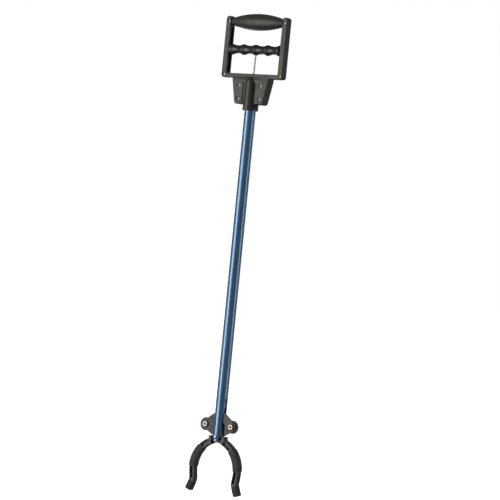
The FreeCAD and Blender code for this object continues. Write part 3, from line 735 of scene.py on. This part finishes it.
def makeSleeve(node, name):
    # Shrunk-on sleeve that follows the arm's bow, with well rounded corners along its length and softened ends.
    shape = sleeveShape
    bm = copyOfNode(node)
    bowX, bowZ = shape["bowCentre"]
    bowX = math.copysign(bowX, -centreOf(node).x)
    turn = math.radians(shape["cornerTurn"])
    along = []
    for edge in bm.edges:
        ends = [vert.co for vert in edge.verts]
        reach = [math.hypot(co.x - bowX, co.z - bowZ) for co in ends]
        lengthwise = abs(ends[0].y - ends[1].y) < weld and abs(reach[0] - reach[1]) < shape["bowSlack"]
        if lengthwise and edge.is_manifold and edge.is_convex and edge.calc_face_angle() > turn:
            along.append(edge)
    bmesh.ops.bevel(bm, geom=along, offset=shape["corner"], offset_type="OFFSET", segments=shape["cornerSteps"],
                    profile=0.5, affect="EDGES", material=-1, clamp_overlap=True)
    finishPiece(roundEdges(bm, shape["rim"], sharper=60), name, node)


makeSleeve("left_sleeve", "leftSleeve")
makeSleeve("right_sleeve", "rightSleeve")
print("sleeves made")


tipShape = {"edge": 0.9 * mm}


def makeTip(node, name):
    # A pushed-on boot with softened corners.
    finishPiece(roundEdges(copyOfNode(node), tipShape["edge"], segments=3), name, node)


makeTip("left_tip", "leftTip")
makeTip("right_tip", "rightTip")
print("tips made")


def makeReturnSpring():
    # Coils of the return spring, which close up towards the upper bush as the rod is pulled; here they are copied
    # as designed, on a mesh of their own.
    piece = finishPiece(copyOfNode("return_spring"), "returnSpring", "return_spring")
    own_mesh(piece)


makeReturnSpring()
print("return spring made")


# What stays as designed gets its finish.
for node, thing in frame["nodes"].items():
    if not thing.hide_render:
        thing.data.materials.clear()
        thing.data.materials.append(finishes[slotFinish[nodeSlot[node]]])
print("kept parts finished")


studio = {"floorGap": 120 * mm, "floorSize": 80, "floorGlow": 0.9, "floorRough": 0.9, "floorTintScale": 3,
          "floorDeep": 0.86, "floorPale": 0.88, "topLight": 0.4, "topAngle": 70, "nadir": 0.22, "horizon": 0.34,
          "zenith": 0.06, "boxHeight": 2.4, "boxDistance": 2.2}
softBoxes = {"keySoftBox": {"turn": -61, "width": 1.15, "power": 50},
             "sideSoftBox": {"turn": 74, "width": 0.35, "power": 14},
             "backSoftBox": {"turn": -166, "width": 0.9, "power": 24}}
viewpoint = {"turn": 36, "lean": 5.57, "distance": 4.6, "height": -0.392, "aimHeight": -0.3735, "aimRight": 0.022,
             "lens": 201.7, "clipEnd": 100}


def awayFrom(turn):
    # Unit vector from the object towards an azimuth; 0 is straight in front.
    angle = math.radians(turn)
    return Vector((math.sin(angle), -math.cos(angle), 0))


def makeFloor():
    # A pale floor with a glow of its own, which the dark plastic doesn't mirror.
    bm = bmesh.new()
    bmesh.ops.create_grid(bm, x_segments=1, y_segments=1, size=studio["floorSize"] / 2)
    bmesh.ops.translate(bm, verts=bm.verts, vec=(0, 0, cadBounds[0].z - studio["floorGap"]))
    floor = toObject(bm, "floor")
    material, shader = newMaterial("paleFloor")
    tint = noise(material, objectSpace(material), studio["floorTintScale"], detail=2)
    stops = [(0.3, [studio["floorDeep"]] * 3), (0.7, [studio["floorPale"]] * 3)]
    colour = ramp(material, tint, "Fac", stops)
    wire(material, colour, "Color", shader, "Base Color")
    shader.inputs["Roughness"].default_value = studio["floorRough"]
    shader.inputs["Specular IOR Level"].default_value = 0.0
    shader.inputs["Emission Color"].default_value = (1, 1, 1, 1)
    shader.inputs["Emission Strength"].default_value = studio["floorGlow"]
    floor.data.materials.append(material)
    floor.visible_diffuse = False        # it doesn't throw its white back up at the tool
    floor.visible_glossy = False


def makeSoftBox(name, turn, width, power):
    # An upright lit panel, turned from the camera's side of the tool by some degrees.
    light = bpy.data.lights.new(name, "AREA")
    light.shape = "RECTANGLE"
    light.size = width
    light.size_y = studio["boxHeight"]
    light.energy = power
    lamp = bpy.data.objects.new(name, light)
    direction = awayFrom(viewpoint["turn"] + turn)
    middle = Vector((0, 0, (cadBounds[0].z + cadBounds[1].z) / 2))
    lamp.location = middle + direction * studio["boxDistance"]
    lamp.rotation_mode = "QUATERNION"
    lamp.rotation_quaternion = direction.to_track_quat("Z", "Y")
    lamp.visible_camera = False
    bpy.context.scene.collection.objects.link(lamp)


def makeTopLight():
    light = bpy.data.lights.new("topLight", "SUN")
    light.energy = studio["topLight"]
    light.angle = math.radians(studio["topAngle"])
    lamp = bpy.data.objects.new("topLight", light)
    bpy.context.scene.collection.objects.link(lamp)


def makeSurroundings():
    # White behind the object, and for what it mirrors a dim grey that changes from below to above.
    world = bpy.data.worlds.new("studio")
    world.use_nodes = True
    tree = world.node_tree
    tree.nodes.clear()
    output = tree.nodes.new("ShaderNodeOutputWorld")
    mix = tree.nodes.new("ShaderNodeMixShader")
    seen = tree.nodes.new("ShaderNodeLightPath")
    dim = tree.nodes.new("ShaderNodeBackground")
    white = tree.nodes.new("ShaderNodeBackground")
    coords = tree.nodes.new("ShaderNodeTexCoord")
    split = tree.nodes.new("ShaderNodeSeparateXYZ")
    climb = tree.nodes.new("ShaderNodeMapRange")
    climb.inputs["From Min"].default_value = -1      # straight down; 1 is straight up
    fade = tree.nodes.new("ShaderNodeValToRGB")
    fade.color_ramp.elements.new(0.5)                # the horizon
    for element, height in zip(fade.color_ramp.elements, ("nadir", "horizon", "zenith")):
        element.color = (*[studio[height]] * 3, 1)
    tree.links.new(coords.outputs["Generated"], split.inputs[0])
    tree.links.new(split.outputs["Z"], climb.inputs["Value"])
    tree.links.new(climb.outputs["Result"], fade.inputs["Fac"])
    tree.links.new(fade.outputs["Color"], dim.inputs["Color"])
    white.inputs["Color"].default_value = (1, 1, 1, 1)
    tree.links.new(seen.outputs["Is Camera Ray"], mix.inputs[0])
    tree.links.new(dim.outputs[0], mix.inputs[1])
    tree.links.new(white.outputs[0], mix.inputs[2])
    tree.links.new(mix.outputs[0], output.inputs["Surface"])
    bpy.context.scene.world = world
    bpy.context.scene.view_settings.view_transform = "Standard"


def makeCamera():
    data = bpy.data.cameras.new("camera")
    data.lens = viewpoint["lens"]
    data.clip_end = viewpoint["clipEnd"]
    camera = bpy.data.objects.new("camera", data)
    toCamera = awayFrom(viewpoint["turn"])
    turn = math.radians(viewpoint["turn"])
    aside = Vector((math.cos(turn), math.sin(turn), 0)) * viewpoint["aimRight"]
    aim = aside + Vector((0, 0, viewpoint["aimHeight"]))
    camera.location = aside + toCamera * viewpoint["distance"]
    camera.location.z = viewpoint["height"]
    look = (camera.location - aim).to_track_quat("Z", "Y")
    camera.rotation_mode = "QUATERNION"
    camera.rotation_quaternion = look @ Quaternion((0, 0, 1), math.radians(viewpoint["lean"]))
    bpy.context.scene.collection.objects.link(camera)
    bpy.context.scene.camera = camera


makeFloor()
for name, box in softBoxes.items():
    makeSoftBox(name, **box)
makeTopLight()
makeSurroundings()
makeCamera()
print("studio ready")
